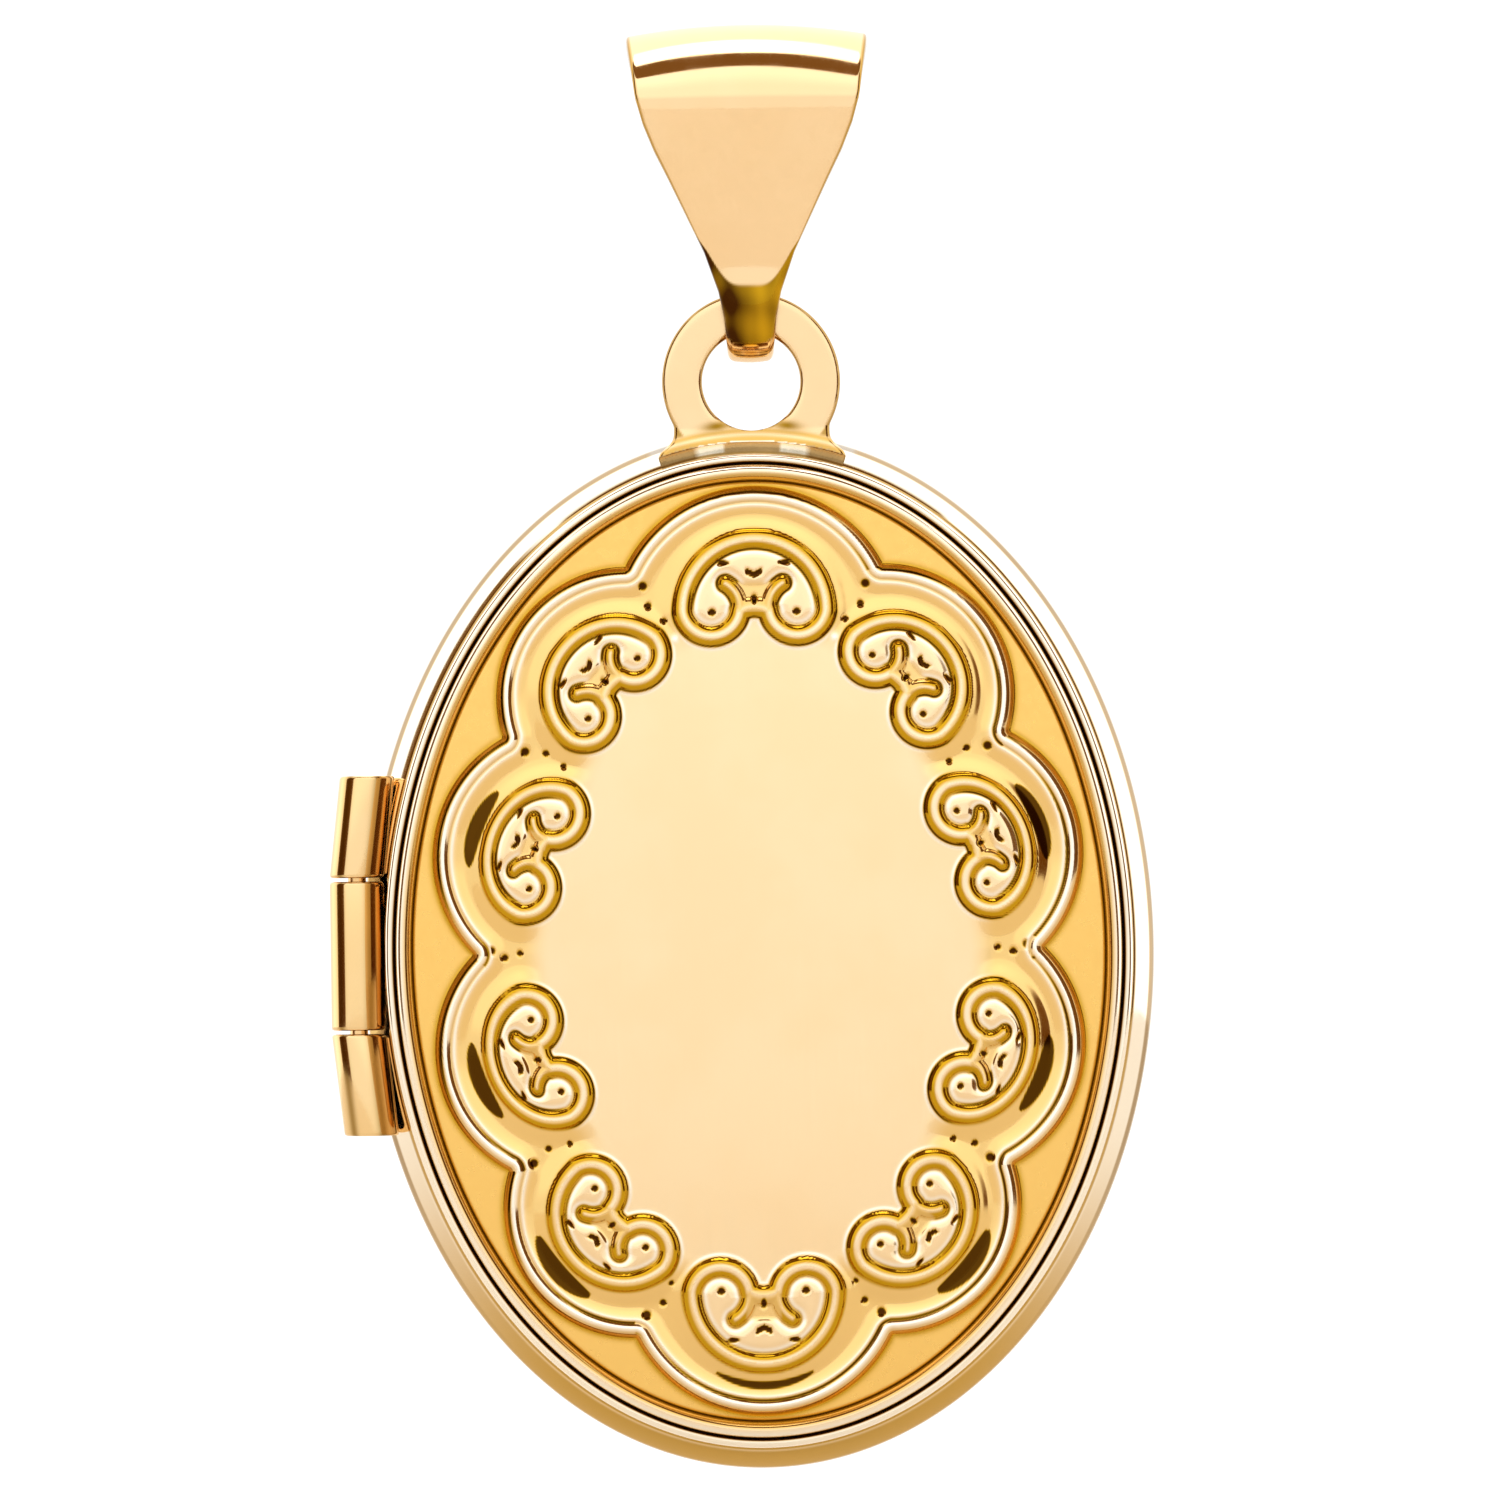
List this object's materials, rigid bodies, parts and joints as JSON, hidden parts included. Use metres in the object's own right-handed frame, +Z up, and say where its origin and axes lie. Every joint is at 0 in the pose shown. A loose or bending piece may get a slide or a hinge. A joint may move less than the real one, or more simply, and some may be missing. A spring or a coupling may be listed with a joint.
{
  "type": "oval locket",
  "caption": "Oval hinged locket with a scrolled front, a photo recess in each half, and a tapered folded bail for a chain.",
  "frame": {"origin": "middle of the chain channel in the bail's top fold", "axes": "+Z up towards the top of the bail, front cover towards -Y, hinge on the -X side"},
  "size_m": [0.0156, 0.0033, 0.0274],
  "materials": {
    "bail_gold": "mirror-polished yellow gold",
    "loop_gold": "polished yellow gold, flat sides lightly brushed",
    "rim_gold": "mirror-polished yellow gold",
    "cover_gold": "stamped yellow gold: polished scrolls, satin ground, finely brushed middle",
    "back_gold": "polished yellow gold with fine wear scratches",
    "hinge_gold": "polished yellow gold tube",
    "pin_gold": "drawn wire, filed ends",
    "inside_gold": "satin yellow gold",
    "window": "clear thin sheet",
    "card": "uncoated off-white card"
  },
  "bodies": {
    "bail": {"bail": "bail_gold"},
    "back_half": {"back_rim": "rim_gold", "back_cover": "back_gold", "closing_collar": "inside_gold", "catch_bead": "inside_gold", "upper_knuckle": "hinge_gold", "lower_knuckle": "hinge_gold", "hinge_pin": "pin_gold", "suspension_loop": "loop_gold", "back_photo_card": "card", "back_photo_window": "window", "back_photo_frame": "inside_gold"},
    "front_half": {"front_rim": "rim_gold", "front_cover": "cover_gold", "middle_knuckle": "hinge_gold", "front_photo_card": "card", "front_photo_window": "window", "front_photo_frame": "inside_gold"}
  },
  "joints": [
    {"name": "locket_swing", "type": "hinge", "parent": "bail", "child": "back_half", "pos_m": [0, 0, -0.00404], "axis": [1, 0, 0], "range_deg": [-90, 90]},
    {"name": "cover_hinge", "type": "hinge", "parent": "back_half", "child": "front_half", "pos_m": [-0.0076, 0, -0.01613], "axis": [0, 0, -1], "range_deg": [0, 175]}
  ]
}
